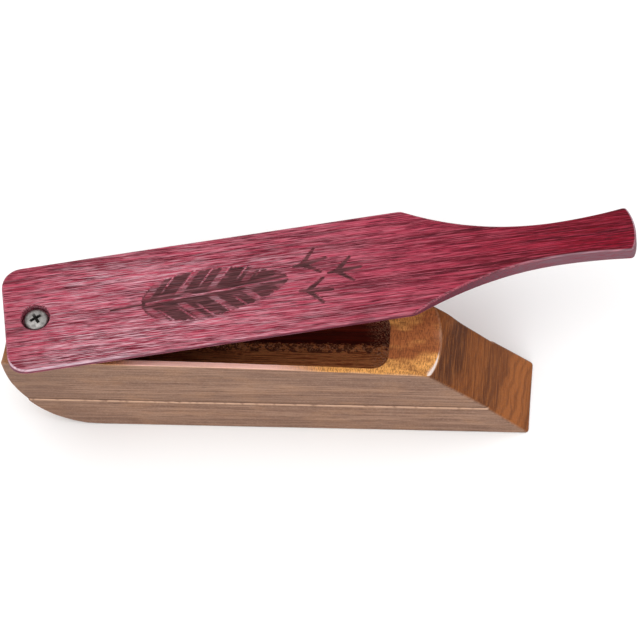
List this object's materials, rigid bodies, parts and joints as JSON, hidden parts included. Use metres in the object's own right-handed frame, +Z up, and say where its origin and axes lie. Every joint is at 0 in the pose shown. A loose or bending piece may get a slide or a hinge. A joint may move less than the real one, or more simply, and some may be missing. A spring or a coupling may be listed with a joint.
{
  "type": "box turkey call",
  "caption": "Hollow walnut sound box with a crowned purpleheart paddle lid that swings and lifts on one sprung wood screw.",
  "frame": {"origin": "centre of the flat underside that the sound box stands on", "axes": "+X along the sound box from the pivot end to the ramp end, +Y towards the side the lid is swung open to, +Z up"},
  "size_m": [0.2477, 0.0799, 0.0544],
  "materials": {
    "walnut": "oiled, satin",
    "purpleheart": "sanded, satin",
    "screw_steel": "zinc plated, satin",
    "fibre": "matt vulcanised fibre",
    "washer_steel": "zinc plated",
    "spring_steel": "bright wire"
  },
  "bodies": {
    "sound_box": {"box_body": "walnut", "pivot_screw": "screw_steel", "lid_spring": "spring_steel"},
    "swivel": {"head_washer": "fibre"},
    "paddle": {"lid": "purpleheart", "spring_washer": "washer_steel"}
  },
  "joints": [
    {"name": "lid_swing", "type": "hinge", "parent": "sound_box", "child": "swivel", "pos_m": [-0.1053, 0, 0.05005], "axis": [0, 0, 1], "continuous": true},
    {"name": "lid_lift", "type": "hinge", "parent": "swivel", "child": "paddle", "pos_m": [-0.10039, 0.00097, 0.05005], "axis": [0.1942, -0.981, 0], "range_deg": [0, 5], "stiffness_Nm_per_rad": 0.016, "springref_deg": -51.57, "deforming": ["lid_spring"]}
  ]
}
